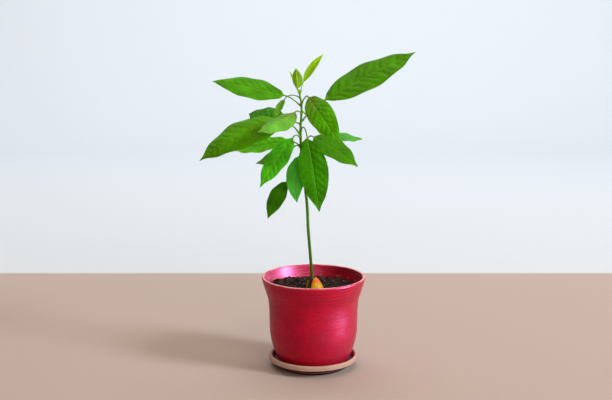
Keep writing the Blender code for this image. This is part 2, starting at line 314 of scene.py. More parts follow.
potLook = {
    "sheen": (1.0, 0.19, 0.56, 1.0),
    "crimson": srgb(186, 4, 34),
    "deep": srgb(130, 1, 13),
    "thinGlaze": srgb(205, 60, 90),
    "insidePink": srgb(200, 80, 122),
    "bareLip": srgb(230, 166, 168),
    "scale": srgb(206, 132, 92),
    "lipHeight": 0.1355,
    "depositHeight": 0.1225,
    "depositDepth": 0.0018,
}


def potMaterial():
    look = potLook
    lip = look["lipHeight"]
    material, tree, spot = newMaterial("crimsonGlaze", Specular_IOR_Level=0.48, Specular_Tint=look["sheen"])
    cloud = clouds(tree, spot, 28.0, 0.7)
    grain = clouds(tree, spot, 260.0, 0.6)
    pits = dots(tree, spot, 330.0, 0.16, 0.32)
    axes = split(tree, spot)
    wobble = timesPlus(tree, cloud, 0.0012, axes[2])
    # the glaze runs thin over the lip, and hard water has left a tide line inside, just above the soil
    thin = rise(tree, wobble, lip - 0.003, lip + 0.0004)
    bare = rise(tree, wobble, lip + 0.0002, lip + 0.0013)
    inside = field(tree, "inside")
    bands = put(tree, "ShaderNodeMapping", {0: spot, 3: (0.1, 0.1, 1.0)}).outputs[0]
    streaks = noise(tree, bands, 420.0, 3.0)
    # pink streaks of thin glaze over the throwing rings inside, laid on far stronger on the inner left wall,
    # which faces the light: partly the glaze's own streaks, partly painted light
    pinkStreaksAndLight = times(tree, inside, rise(tree, streaks, 0.36, 0.64, (0.2, 0.9)))
    pinkStreaksAndLight = times(tree, pinkStreaksAndLight, rise(tree, axes[0], 0.05, -0.03, (0.05, 1.0)))
    # painted shade: the inner right wall, turned away from the light, is darkened towards the deep crimson
    thick = times(tree, inside, rise(tree, axes[0], -0.02, 0.05, (0.0, 0.75)))
    band = calc(tree, "COMPARE", wobble, look["depositHeight"], look["depositDepth"])
    tide = times(tree, band, inside)
    patchy = times(tree, tide, times(tree, grain, rise(tree, cloud, 0.3, 0.7, (0.0, 0.8))))
    colour = layers(
        tree, look["crimson"],
        (look["deep"], cloud, 0.55),
        (look["thinGlaze"], grain, 0.16),
        (look["thinGlaze"], thin, 0.45),
        (look["bareLip"], bare),
        (look["deep"], thick),
        (look["insidePink"], pinkStreaksAndLight),
        (look["scale"], patchy),
        (look["deep"], pits, 0.5))
    rough = timesPlus(tree, cloud, 0.1, timesPlus(tree, bare, 0.3, 0.33))
    rings = {"Vector": spot, "Scale": 130.0, "Distortion": 2.0, "Detail": 2.0, "Detail Scale": 1.2}
    lines = put(tree, "ShaderNodeTexWave", rings, wave_type="BANDS", bands_direction="Z").outputs["Fac"]
    height = timesPlus(tree, pits, -0.8, times(tree, lines, 0.2))
    return dress(material, colour, rough, timesPlus(tree, grain, 0.5, height), 0.0001)


saucerLook = {
    "clay": srgb(198, 168, 156),
    "clayDark": srgb(165, 132, 116),
    "foot": srgb(48, 18, 12),
    "glaze": srgb(128, 26, 66),
    "glazeRadius": 0.0606,
    "glazeHeight": 0.0045,
    "skirtHeight": 0.0111,
}


def saucerMaterial():
    look = saucerLook
    material, tree, spot = newMaterial("saucerClay", Specular_IOR_Level=0.3)
    cloud = clouds(tree, spot, 45.0, 0.6)
    grit = dots(tree, spot, 520.0, 0.25, 0.35)
    axes = split(tree, spot)
    flat = put(tree, "ShaderNodeCombineXYZ", {0: axes[0], 1: axes[1]}).outputs[0]
    radius = put(tree, "ShaderNodeVectorMath", {0: flat}, operation="LENGTH").outputs["Value"]
    skirt, bowl = look["skirtHeight"], look["glazeRadius"]
    # painted shade: below the skirt's edge, over the undercut and the underside, the clay is painted near
    # black-brown for the shade under the overhanging rim
    under = rise(tree, axes[2], skirt + 0.0006, skirt - 0.0006)
    edge = timesPlus(tree, cloud, 0.0008, radius)
    inner = rise(tree, edge, bowl + 0.0012, bowl + 0.0004)
    glazed = times(tree, inner, calc(tree, "GREATER_THAN", axes[2], look["glazeHeight"]))
    colour = layers(
        tree, look["clay"],
        (look["clayDark"], cloud, 0.6),
        (look["clayDark"], grit, 0.35),
        (look["foot"], under),
        (look["glaze"], glazed))
    rough = timesPlus(tree, glazed, -0.5, timesPlus(tree, cloud, 0.1, 0.78))
    return dress(material, colour, rough, timesPlus(tree, grit, 0.6, cloud), 0.00015)


potShape = {
    "bodyRadius": 0.0654,
    "lipRadius": 0.0765,
    "lipHeight": 0.134,
    "wall": 0.0045,
    "bottom": 0.0053,
    "floorThick": 0.006,
    "footRadius": 0.0465,
    "drainRadius": 0.006,
    "innerLow": 0.026,
    "segments": 192,
    "throwDepth": 0.00014,
    "throwPitch": 0.0055,
}


def potWall(count):
    # The outer wall from above the foot to under the lip, as (radius, height).
    body, lip = potShape["bodyRadius"], potShape["lipRadius"]
    low = [(body - 0.0112, 0.0145), (body - 0.005, 0.031), (body - 0.0009, 0.05), (body, 0.07)]
    high = [(body + 0.0004, 0.088), (body + 0.0021, 0.104), (lip - 0.0045, 0.118)]
    return smoothThrough(low + high + [(lip, potShape["lipHeight"])], count)


def potRadius(height):
    # The wall's radius at a height, read off its curve.
    curve = potWall(120)
    return np.interp(height, curve[:, 1], curve[:, 0])


def insideCorner(low, floor):
    # Where the inside turns from the wall's low end into the floor, as (radius, height).
    return [(low - 0.0035, floor + 0.0045), (low - 0.009, floor + 0.001), (low - 0.014, floor)]


def buildPot():
    # The wall's curve, a round lip, the same curve one wall further in, and the floor round its drain hole,
    # turned about Z, with the shallow rings that a thrower's fingers leave.
    shape = potShape
    wall, bottom, footRadius = shape["wall"], shape["bottom"], shape["footRadius"]
    floor, outer = bottom + shape["floorThick"], potWall(90)
    lip = arc((shape["lipRadius"] - wall / 2, shape["lipHeight"]), wall / 2, 8, 172, 14)
    heights = np.linspace(shape["lipHeight"] - 0.0005, shape["innerLow"], 70)
    inner = np.stack([potRadius(heights) - wall, heights], 1)
    low = inner[-1, 0]
    corner = smoothThrough([(low, shape["innerLow"]), *insideCorner(low, floor)], 12)
    drain = shape["drainRadius"]
    hole = [(0.02, floor), (drain + 0.0006, floor), (drain, floor - 0.0006), (drain, bottom)]
    heel = [(0.03, bottom), (footRadius, bottom), (footRadius + 0.0035, bottom + 0.0022)]
    foot = smoothThrough([*heel, outer[0]], 16)
    outline = np.vstack([foot[:-1], outer, lip, inner, corner[1:], hole])
    rings = turned(outline, shape["segments"])
    angle = fullTurn(shape["segments"])
    height = rings[..., 2]
    swing = height / shape["throwPitch"] * 2 * np.pi + 0.7 * np.sin(angle + 40 * height)
    strength = ease((height - 0.02) / 0.02) * (0.15 + 0.85 * ease((height - 0.1) / 0.015))
    strength = strength * ease((shape["lipHeight"] + 0.0015 - height) / 0.003)
    push = shape["throwDepth"] * strength * np.sin(swing)
    rings[..., :2] *= 1 + (push / np.maximum(np.hypot(rings[..., 0], rings[..., 1]), 0.01))[..., None]
    points = rings.reshape(-1, 3)
    firstInside = len(foot) + len(outer) + len(lip) - 4      # the lip's last few rings count as inside
    within = np.repeat(np.arange(len(outline)) >= firstInside, shape["segments"])
    solid = points, gridFaces(*rings.shape[:2], closed=True)
    addPiece("glazedPot", solid, potMaterial(), ["pot"], {"inside": within * 1.0})


saucerShape = {
    "footRadius": 0.05,
    "rimRadius": 0.0658,
    "rimThick": 0.0048,
    "height": 0.018,
    "floor": 0.005,
    "skirt": 0.0107,
    "segments": 192,
}


def buildSaucer():
    # From the middle of the flat underside, out under the skirt, over the thick rim and back to the middle.
    shape = saucerShape
    rim, half = shape["rimRadius"], shape["rimThick"] / 2
    inside = rim - shape["rimThick"]
    under = [(r, 0.0) for r in np.linspace(0.002, shape["footRadius"], 12)]
    skirt = smoothThrough([
        (shape["footRadius"] + 0.0006, 0.0004), (shape["footRadius"] + 0.0015, 0.0012),
        (rim - 0.0014, shape["skirt"] - 0.0006), (rim - 0.0002, shape["skirt"] + 0.0008),
        (rim, shape["height"] - half)], 22)
    top = arc((rim - half, shape["height"] - half), half, 0, 180, 16)
    bowl = smoothThrough([
        (inside, shape["height"] - half), (inside - 0.0002, 0.012), (inside - 0.0014, 0.008),
        (inside - 0.004, shape["floor"] + 0.0008), (inside - 0.007, shape["floor"])], 18)
    floor = [(r, shape["floor"]) for r in np.linspace(inside - 0.01, 0.002, 12)]
    rings = turned(np.vstack([under, skirt, top[1:], bowl[1:], floor]), shape["segments"])
    addPiece("claySaucer", loft(rings), saucerMaterial(), ["saucer"])


buildPot()
buildSaucer()
print("pot and saucer built")


soilShape = {
    "level": 0.118,
    "bump": 0.0011,
    "bank": 0.003,
    "seatRadius": 0.0185,
    "seatEdge": 0.004,
    "brimDrop": 0.004,
    "clear": 0.0006,
    "clodCount": 44,
    "clodRadius": 0.0075,
    "clodHeight": 0.0036,
    "clodInset": 0.0036,
    "roughness": 0.0005,
    "crumbs": 1700,
    "crumbSize": (0.0005, 0.0019),
    "crumbInset": 0.003,
    "fibres": 120,
    "fibreStretch": (2.6, 0.28, 0.28),
    "seed": 11,
}


def soilHeight(x, y):
    # The level with ripples and a bank to the left. Clods are domes of three sizes, set round by the golden
    # angle at even shares of the area outside the stone's seat, and all is roughened by finer noise.
    shape = soilShape
    ripple = np.sin(170 * x + 1.1) * np.sin(140 * y + 0.4) + 0.6 * np.sin(260 * x - 190 * y)
    bank = shape["bank"] * ease((-x - 0.025) / 0.04)
    away = ease((np.hypot(x, y) - shape["seatRadius"]) / shape["seatEdge"])
    order = np.arange(shape["clodCount"])
    inner = shape["seatRadius"] + shape["seatEdge"]
    outer = potRadius(shape["level"] - shape["brimDrop"]) - potShape["wall"] - shape["clodInset"]
    reach = np.sqrt(inner**2 + (outer**2 - inner**2) * (order + 0.5) / shape["clodCount"])
    turn = order * goldenAngle
    size = 0.5 + 0.25 * (order % 3)
    spot = np.stack([x, y, 0 * x], -1)
    warp = 0.0009 * ruffle(spot, 0.009, 4)
    apart = np.hypot(x[..., None] - reach * np.cos(turn), y[..., None] - reach * np.sin(turn))
    domes = np.sqrt(np.clip(1 - ((apart + warp[..., None]) / (shape["clodRadius"] * size)) ** 2, 0, 1))
    clods = (shape["clodHeight"] * size * domes).max(-1)
    grain = shape["roughness"] * (np.abs(ruffle(spot, 0.006, 5)) + 0.6 * ruffle(spot, 0.0028, 6))
    relief = shape["bump"] * ripple + bank + clods
    return shape["level"] - 0.0003 + grain * (0.4 + 0.6 * away) + away * relief


soilLook = {
    "wet": srgb(17, 8, 9),
    "dry": srgb(44, 26, 24),
    "pale": srgb(131, 104, 101),
    "grit": srgb(72, 49, 45),
    "bedPale": 0.05,
}


def soilMaterial():
    look = soilLook
    material, tree, spot = newMaterial("pottingSoil", Specular_IOR_Level=0.25)
    cloud = clouds(tree, spot, 120.0, 0.7)
    grain = clouds(tree, spot, 620.0, 0.7)
    colour = layers(
        tree, look["wet"],
        (look["dry"], cloud),
        (look["pale"], field(tree, "pale")),
        (look["grit"], grain, 0.2))
    return dress(material, colour, timesPlus(tree, grain, 0.15, 0.8), grain, 0.0004)


def buildSoil():
    # Rings up the pot's inside, then inwards over the uneven top.
    floor = potShape["bottom"] + potShape["floorThick"] + touchGap
    heights = np.linspace(potShape["innerLow"], soilShape["level"] - soilShape["brimDrop"], 20)
    wall = np.stack([potRadius(heights) - potShape["wall"] - soilShape["clear"], heights], 1)
    low = wall[0, 0]
    base = [(0.004, floor), *insideCorner(low, floor)[::-1]]
    brim = wall[-1, 0]
    top = [(r, 0.0) for r in np.linspace(brim - 0.0002, 0.0006, 110)]
    rings = turned(np.vstack([base, wall, top]), 240)
    over = rings[len(base) + len(wall):]
    over[..., 2] = soilHeight(over[..., 0], over[..., 1])
    pale = 0 * rings[..., 0] + soilLook["bedPale"]
    addPiece("pottingSoil", loft(rings), soil, ["soil"], {"pale": overLoft(pale)})


def buildCrumbs():
    # An icosahedron copied for each crumb: stretched, turned and dented at random from one seed, and
    # sunk a third of its size into the top. Fibres are the same, drawn out long and thin.
    shape = soilShape
    golden = (1 + 5**0.5) / 2
    pairs = [(a, b * golden) for a in (-1, 1) for b in (-1, 1)]
    corners = [(0, a, b) for a, b in pairs] + [(a, b, 0) for a, b in pairs] + [(b, 0, a) for a, b in pairs]
    corners = unit(np.array(corners))
    gaps = np.linalg.norm(corners[:, None] - corners[None], axis=-1)
    near = gaps < 1.1
    triples = [(i, j, k) for i in range(12) for j in range(i + 1, 12) for k in range(j + 1, 12)
               if near[i, j] and near[j, k] and near[i, k]]
    facing = [np.dot(corners[i], np.cross(corners[j], corners[k])) > 0 for i, j, k in triples]
    solid = np.array([(i, j, k) if out else (i, k, j) for (i, j, k), out in zip(triples, facing)])
    dice = np.random.default_rng(shape["seed"])
    count = shape["crumbs"] + shape["fibres"]
    fibre = np.arange(count) >= shape["crumbs"]
    small, large = shape["crumbSize"]
    size = dice.uniform(0, 1, count) ** 2 * (large - small) + small
    widest = potRadius(shape["level"]) - potShape["wall"] - shape["crumbInset"]
    reach = np.sqrt(dice.uniform(0.03, 1, count)) * widest
    angle = dice.uniform(0, 2 * np.pi, count)
    x, y = reach * np.cos(angle), reach * np.sin(angle)
    stretch = dice.uniform(0.7, 1.3, (count, 1, 3))
    stretch[fibre] *= shape["fibreStretch"]
    dents = dice.uniform(0.75, 1.2, (count, 12, 1))
    shapes = corners[None] * dents * stretch * size[:, None, None]
    spin = np.linalg.qr(dice.normal(size=(count, 3, 3)))[0]
    spin[fibre, :, :] = np.linalg.qr(dice.normal(size=(fibre.sum(), 3, 3)) * [[[1], [1], [0.25]]])[0]
    shapes = np.einsum("nij,nkj->nki", spin, shapes)
    middle = np.stack([x, y, soilHeight(x, y) + 0.35 * size * np.where(fibre, 0.5, 1)], -1)
    points = (shapes + middle[:, None]).reshape(-1, 3)
    faces = (solid[None] + 12 * np.arange(count)[:, None, None]).reshape(-1, 3).tolist()
    pale = np.where(fibre, dice.uniform(0.3, 1, count), dice.uniform(0, 1, count) ** 5 * 0.9)
    fields = {"pale": np.repeat(pale, 12)}
    addPiece("soilCrumbs", (points, faces), soil, fields=fields, sharp=30)


soil = soilMaterial()
buildSoil()
buildCrumbs()
print("soil and crumbs built")


stemShape = {
    "path": [
        (0.1185, -0.0011, 0.0), (0.163, -0.0042, 0.0004), (0.205, -0.0077, 0.0006),
        (0.243, -0.0095, 0.0), (0.28, -0.0134, -0.0008), (0.328, -0.0181, -0.0006),
        (0.357, -0.0187, 0.0), (0.385, -0.0173, 0.0006), (0.409, -0.0208, 0.0)],
    "taper": [(0.1185, 0.0026), (0.124, 0.0023), (0.15, 0.0022), (0.3, 0.0021), (0.409, 0.0013)],
    "jointSwell": 0.0006,
    "jointDrop": 0.0006,
    "jointTall": 0.0022,
    "scarLowest": 0.146,
    "scarHighest": 0.296,
    "scarPitch": 0.0165,
    "scarSwell": 0.00022,
    "scarTall": 0.0016,
    "ridge": 0.00006,
    "ridgeEnd": 0.3,
    "bud": 0.0024,
    "tipLength": 0.004,
    "rows": 420,
    "columns": 36,
}

stemLook = {
    "green": srgb(86, 150, 26),
    "woody": srgb(64, 108, 30),
    "tender": srgb(112, 182, 26),
    "shade": srgb(50, 84, 18),
    "scar": srgb(66, 74, 20),
    "cork": srgb(140, 140, 84),
}

# Each leaf as in the part's source: joint height, then the stalk's length, heading, pitch and bend, and
# the blade's length, width, heading, pitch, bend, sway, roll and fold. "green" is its colour, partly its own
# tint and partly painted light, made brighter or darker leaf by leaf for the light that shines through it and
# the shade it sits in. "veins" its pairs of side veins, "wave" how far its margin ripples, and "olive", where
# given, how strong a painted shadow of the leaves above lies over its foot.
leafPlan = {
    "leaf_right_high": {
        "joint": 0.3665, "stalk": (0.041, 11, 43, 20),
        "blade": (0.16, 0.05, 19, 25.3, 11, -1, 38, 4),
        "green": srgb(62, 134, 0), "veins": 11, "wave": 0.0012},
    "leaf_left_high": {
        "joint": 0.388, "stalk": (0.0252, 175, 34, 25),
        "blade": (0.107, 0.043, 176.5, 11, 10.5, 0, -38, 3),
        "green": srgb(63, 150, 0), "veins": 9, "wave": 0.0008},
    "leaf_left_behind_small": {
        "joint": 0.3992, "stalk": (0.025, 160, -6.5, 80),
        "blade": (0.0302, 0.0172, 180, -62, 17, -3, 35, 10),
        "green": srgb(118, 205, 14), "veins": 6, "wave": 0.0003},
    "leaf_left_behind": {
        "joint": 0.361, "stalk": (0.028, 136, 2, 30),
        "blade": (0.0775, 0.0365, 138, 4.5, 33, 13, -39, 4),
        "green": srgb(56, 151, 3), "veins": 8, "wave": 0.0008, "footShadow": 0.1},
    "leaf_left_wide": {
        "joint": 0.3485, "stalk": (0.029, 202, 41, 30),
        "blade": (0.1375, 0.0545, 190.5, -23.7, 51, -4, -36, -3),
        "green": srgb(81, 163, 0), "veins": 10, "wave": 0.0014, "footShadow": 0.3},
    "leaf_front_left": {
        "joint": 0.377, "stalk": (0.0222, 250, 10.5, 30),
        "blade": (0.0842, 0.03, 230, -15.7, 20, 25, -28, -18),
        "green": srgb(102, 178, 62), "veins": 8, "wave": 0.001, "footShadow": 0.7},
    "leaf_left_middle": {
        "joint": 0.3296, "stalk": (0.0225, 134, 13.5, 30),
        "blade": (0.093, 0.0343, 158.5, -11.2, 4, -4, -33.5, 6),
        "green": srgb(118, 240, 18), "veins": 8, "wave": 0.0009},
    "leaf_front_left_low": {
        "joint": 0.3425, "stalk": (0.0152, 231, 4.5, 80),
        "blade": (0.0873, 0.0354, 211, -51.2, 5, -4, -26, 8),
        "green": srgb(84, 215, 34), "veins": 9, "wave": 0.0009},
    "leaf_left_behind_low": {
        "joint": 0.327, "stalk": (0.0186, 122, -6.5, 70),
        "blade": (0.074, 0.0288, 147, -23.3, 0, 3, -43, 6),
        "green": srgb(96, 196, 34), "veins": 7, "wave": 0.0006},
    "leaf_left_lowest": {
        "joint": 0.3028, "stalk": (0.0323, 191.5, -51.5, 30),
        "blade": (0.0606, 0.029, 202.5, -60.5, 12, -10, -31.5, 8),
        "green": srgb(54, 142, 0), "veins": 7, "wave": 0.0005},
    "leaf_front_low": {
        "joint": 0.3205, "stalk": (0.014, 262, -11.5, 70),
        "blade": (0.0687, 0.0277, 257, -75.8, 13.5, -25, 3, 10),
        "green": srgb(90, 227, 82), "veins": 8, "wave": 0.0008},
    "leaf_front_hanging": {
        "joint": 0.3535, "stalk": (0.034, 288, -18.5, 120),
        "blade": (0.1068, 0.042, 319, -77.8, -4, 6, 48, 10),
        "green": srgb(44, 140, 0), "veins": 9, "wave": 0.0012},
    "leaf_right_middle": {
        "joint": 0.3335, "stalk": (0.0195, 342, 42, 20),
        "blade": (0.0797, 0.0416, 342, -31.3, 18.5, 1, 30, 8),
        "green": srgb(52, 126, 4), "veins": 8, "wave": 0.0009},
    "leaf_front_right": {
        "joint": 0.3912, "stalk": (0.0228, 300, 33.5, 50),
        "blade": (0.0927, 0.0363, 311, -42, 49, 0, 49, 4),
        "green": srgb(77, 171, 9), "veins": 9, "wave": 0.001, "footShadow": 0.8},
    "leaf_right_behind": {
        "joint": 0.379, "stalk": (0.0605, 46, -46, 20),
        "blade": (0.0732, 0.0256, 37, -8.7, 2.5, 1, 28, 6),
        "green": srgb(69, 161, 54), "veins": 8, "wave": 0.0008},
    "young_leaf_right": {
        "joint": 0.4078, "stalk": (0.0138, 10, 77, 10),
        "blade": (0.0492, 0.0133, 6, 54, 23, -2, 50, 20),
        "green": srgb(179, 248, 29), "veins": 9, "wave": 0.0002},
    "young_leaf_middle": {
        "joint": 0.4084, "stalk": (0.0037, 234, 60, 10),
        "blade": (0.03, 0.0172, 240, 80.5, 0, 0, 3, 20),
        "green": srgb(159, 244, 11), "veins": 7, "wave": 0.0002},
    "young_leaf_left": {
        "joint": 0.4078, "stalk": (0.0056, 132, 54, 10),
        "blade": (0.0265, 0.0085, 154, 65, -12, 5, -10, 30),
        "green": srgb(150, 200, 20), "veins": 6, "wave": 0.0001},
}


def stemMiddle(height):
    # The stem's middle at each height, on a curve through the path's points.
    curve = smoothThrough([(x, y, z) for z, x, y in stemShape["path"]], 300)
    return np.stack([np.interp(height, curve[:, 2], curve[:, k]) for k in (0, 1)] + [height], -1)


def stemRadius(height):
    # Its radius at each height, in straight runs between the taper's values.
    heights, radii = zip(*stemShape["taper"])
    return np.interp(height, heights, radii)


def stemMaterial():
    look = stemLook
    material, tree, spot = newMaterial("greenBark", Specular_IOR_Level=0.08)
    cloud = clouds(tree, spot, 190.0, 0.6)
    corks = dots(tree, spot, 900.0, 0.2, 0.4)
    height = split(tree, spot)[2]
    colour = layers(
        tree, look["green"],
        (look["woody"], rise(tree, height, 0.30, 0.13)),
        (look["tender"], rise(tree, height, 0.33, 0.405)),
        (look["shade"], cloud, 0.3),
        (look["scar"], field(tree, "joint"), 0.6),
        (look["cork"], corks, 0.25))
    rough = timesPlus(tree, cloud, 0.15, 0.45)
    return dress(material, colour, rough, timesPlus(tree, corks, 0.8, cloud), 0.00018)


def buildStem():
    # A tapering tube along the path. Its radius swells under each leaf joint on the leaf's side, at scars of
    # fallen leaves set round it by the golden angle, and in faint ridges. It closes in a pointed bud.
    shape = stemShape
    top = shape["path"][-1][0] + shape["bud"]
    height = np.linspace(shape["path"][0][0], top, shape["rows"])[:, None]
    angle = fullTurn(shape["columns"])[None]
    radius = stemRadius(height) + 0 * angle
    joints = 0 * radius
    tall, scarTall = shape["jointTall"], shape["scarTall"]
    for row in leafPlan.values():
        facing = 0.5 + 0.5 * np.cos(angle - math.radians(row["stalk"][1]))
        swell = bell(height - row["joint"] + shape["jointDrop"], tall) * facing
        radius = radius + shape["jointSwell"] * swell
        joints = np.maximum(joints, bell(height - row["joint"] + tall, tall / 2) * (0.35 + 0.65 * facing))
    for k, scar in enumerate(np.arange(shape["scarLowest"], shape["scarHighest"], shape["scarPitch"])):
        facing = (0.5 + 0.5 * np.cos(angle - k * goldenAngle)) ** 2
        radius = radius + shape["scarSwell"] * bell(height - scar, scarTall) * facing
        joints = np.maximum(joints, 0.6 * bell(height - scar, scarTall / 2) * facing)
    ridges = np.sin(5 * angle + 30 * height) * (1 - ease((height - shape["ridgeEnd"]) / 0.05))
    radius = radius + shape["ridge"] * ridges
    tip = ((height - (top - shape["tipLength"])) / shape["tipLength"]).clip(0)
    radius = radius * np.clip(1 - tip**2, 0.02, 1) ** 0.5
    middle = stemMiddle(height[:, 0])[:, None]
    around = np.stack([np.cos(angle), np.sin(angle), 0 * angle], -1)
    rings = middle + radius[..., None] * around
    rough = shape["ridge"] * 0.8 * ruffle(rings, 0.0035, 21)
    rings = rings + rough[..., None] * around
    addPiece("stem", loft(rings), stemMaterial(), ["stem"], {"joint": overLoft(joints)})


buildStem()
print("stem built")


# Each half: heading, how far it reaches from its flat face, half its length, its height and its lean
# outwards. "split" sets the flat faces off the stem's middle, and "husk" is how much brown skin is left.
stoneShape = {
    "seed_half_right": (-28, 0.0137, 0.0130, 0.0155, 0.0012),
    "seed_half_left": (152, 0.0074, 0.0105, 0.0112, 0.0004),
    "roundness": 0.85,
    "split": 0.0031,
    "foot": 0.1183,
    "wrinkle": 0.00016,
    "rows": 36,
    "roundColumns": 44,
    "faceColumns": 20,
    "husk": {"seed_half_right": 0.0, "seed_half_left": 0.8},
}

stoneLook = {
    "flesh": srgb(214, 172, 6),
    "tip": srgb(226, 104, 4),
    "foot": srgb(150, 110, 30),
    "streak": srgb(168, 84, 22),
    "husk": srgb(112, 96, 26),
    "face": srgb(116, 86, 40),
}


def stoneMaterial():
    look = stoneLook
    material, tree, spot = newMaterial("stoneFlesh", Specular_IOR_Level=0.3)
    cloud = clouds(tree, spot, 130.0, 0.8)
    drawn = put(tree, "ShaderNodeMapping", {0: spot, 3: (1.0, 1.0, 0.2)}).outputs[0]
    streak = noise(tree, drawn, 900.0, 3.0)
    level = timesPlus(tree, cloud, 0.004, split(tree, spot)[2])
    colour = layers(
        tree, look["flesh"],
        (look["tip"], rise(tree, level, 0.1255, 0.1325)),
        (look["foot"], rise(tree, level, 0.123, 0.1195)),
        (look["streak"], streak, 0.3),
        (look["husk"], field(tree, "husk")),
        (look["face"], field(tree, "face")))
    rough = timesPlus(tree, cloud, 0.2, 0.26)
    return dress(material, colour, rough, timesPlus(tree, streak, 0.5, cloud), 0.00015)


def buildStoneHalf(name, material):
    # At each level a D: a half ring out from the stem, closed by a straight face. Both draw in towards the
    # top as the square root of one less the level to a power, and the face leans out from the stem.
    shape = stoneShape
    rows, roundColumns, faceColumns = (shape[key] for key in ("rows", "roundColumns", "faceColumns"))
    heading, reach, halfLength, tall, lean = shape[name]
    turn = math.radians(heading)
    outOf = np.array([math.cos(turn), math.sin(turn), 0.0])
    along = np.array([-math.sin(turn), math.cos(turn), 0.0])
    level = np.sin(np.linspace(0, np.pi / 2, rows))[:, None]
    slim = np.sqrt(np.maximum(1 - level ** shape["roundness"], 0.0008))
    angle = np.radians(np.linspace(-90, 90, roundColumns))[None]
    face = np.linspace(1, -1, faceColumns + 2)[None, 1:-1]
    length = halfLength * (0.2 + 0.8 * slim)
    away = np.hstack([reach * slim * np.cos(angle), -0.0004 * (1 - face**2) * (1 - level)])
    across = np.hstack([length * np.sin(angle), length * face])
    away = away + shape["split"] + 0.0002 + lean * level
    middle = stemMiddle(shape["foot"] + level[:, 0] * tall)
    rings = middle[:, None] + away[..., None] * outOf + across[..., None] * along
    domed = np.hstack([np.ones((rows, roundColumns)), np.zeros((rows, faceColumns))])
    wrinkle = ruffle(rings, 0.004, 31) * shape["wrinkle"] * domed * (0.2 + 0.8 * slim)
    rings = rings + wrinkle[..., None] * outOf
    fields = {"face": overLoft(1 - domed), "husk": overLoft(domed * shape["husk"][name])}
    addPiece(name + "_flesh", loft(rings), material, [name], fields)


stone = stoneMaterial()
for half in ("seed_half_right", "seed_half_left"):
    buildStoneHalf(half, stone)
print("stone built")


leafShape = {
    "widestPower": 0.84,
    "fullness": 0.85,
    "tipDraw": 0.42,
    "thickness": 0.0004,
    "stalkRadius": 0.0006,
    "stalkRadiusPerLength": 0.0038,
    "halfColumns": 24,
    "stalkRows": 16,
    "rowLength": 0.0014,
    "veinSlant": 0.75,
    "veinCurve": 9.0,
    "quilt": 0.0009,
    "quiltedLength": 0.155,
    "stray": 0.16,
    "crinkle": 0.00016,
    "camber": 0.1,
    "columnPower": 1.35,
    "waves": 3.2,
    "groove": 0.0004,
    "grooveWidth": 0.0009,
    "ribHeight": 1.5,
    "veinHeight": 0.0003,
    "veinWidth": 0.0006,
    "neck": 0.07,
}

leafLook = {
    "leafMature": {"vein": srgb(128, 182, 16), "under": srgb(98, 142, 52), "stalk": srgb(112, 164, 18),
                   "paintedShadow": srgb(112, 118, 48), "patch": srgb(120, 150, 40), "gloss": 0.42, "veinShow": 0.34},
    "leafYoung": {"vein": srgb(186, 212, 60), "under": srgb(150, 200, 70), "stalk": srgb(150, 200, 40),
                  "paintedShadow": srgb(150, 150, 60), "patch": srgb(120, 150, 40), "gloss": 0.4, "veinShow": 0.3},
}


def leafMaterial(name):
    look = leafLook[name]
    material, tree, spot = newMaterial(name, Specular_IOR_Level=0.06)
    below, blade = field(tree, "below"), field(tree, "blade")
    chart = put(tree, "ShaderNodeUVMap", uv_map="veinMap").outputs[0]
    lines = useGroup(tree, veins, {"Map": chart, "Edge": field(tree, "edge"), "Place": spot})
    cloud = clouds(tree, spot, 55.0, 0.6)
    grain = clouds(tree, spot, 500.0, 0.5)
    # each leaf's green holds painted light as well as its own tint: brighter or darker leaf by leaf for the
    # light through it and the shade it sits in
    green = field(tree, "green", "Color")
    colour = layers(
        tree, blendColour(tree, times(tree, cloud, 0.35), green, look["patch"], "MULTIPLY"),
        (look["vein"], grain, 0.12),
        # painted shadow: the "dull" coat lays the shade of the leaves above over the blade's foot
        (look["paintedShadow"], field(tree, "paintedShadow"), 0.8),
        (look["vein"], calc(tree, "MAXIMUM", lines["Vein"], lines["Rib"]), look["veinShow"]),
        (look["vein"], lines["Net"], 0.1),
        (look["under"], below, 0.55))
    colour = blendColour(tree, blade, look["stalk"], colour)
    rough = timesPlus(tree, below, 0.2, timesPlus(tree, grain, 0.12, look["gloss"]))
    height = timesPlus(tree, lines["Height"], -1.0, times(tree, grain, 0.3))
    return dress(material, colour, rough, height, 0.00022)


def pointing(pitch, heading):
    # The unit vector at a pitch above level and a heading seen from above, in degrees.
    pitch, heading = np.radians(pitch), np.radians(heading)
    level = np.cos(pitch)
    return np.stack([level * np.cos(heading), level * np.sin(heading), np.sin(pitch)], -1)


def runAlong(start, directions, length):
    # Where walking length from the start along the directions leads.
    steps = 0.5 * (directions[1:] + directions[:-1]) * length / (len(directions) - 1)
    return start + np.vstack([np.zeros(3), np.cumsum(steps, 0)])


def bladeFrames(count, heading, pitch, bend, sway, roll):
    # Directions along the blade, to its left and out of its upper face, turning evenly along the blade.
    forward = pointing(pitch, heading)
    level = np.array([-math.sin(math.radians(heading)), math.cos(math.radians(heading)), 0.0])
    upright = np.cross(forward, level)
    roll = math.radians(roll)
    side = level * math.cos(roll) + upright * math.sin(roll)
    face = upright * math.cos(roll) - level * math.sin(roll)
    half = 0.5 - np.linspace(0, 1, count)[:, None]
    droop, swing = np.radians(bend) * half, np.radians(sway) * half
    along = np.cos(swing) * (np.cos(droop) * forward + np.sin(droop) * face) + np.sin(swing) * side
    faces = unit(np.cos(droop) * face - np.sin(droop) * forward)
    sides = unit(np.cross(faces, along))
    return unit(along), sides, np.cross(unit(along), sides)


def ringsRound(middles, sides, faces, across, over):
    # Points out from each middle: across times its side direction, and over times its face direction.
    return middles[:, None] + across[..., None] * sides[:, None] + over[..., None] * faces[:, None]


def bothFaces(upper, lower):
    # Goes over the upper face's columns and back under the lower face's, with each margin once.
    return np.hstack([upper, lower[:, -2:0:-1]])


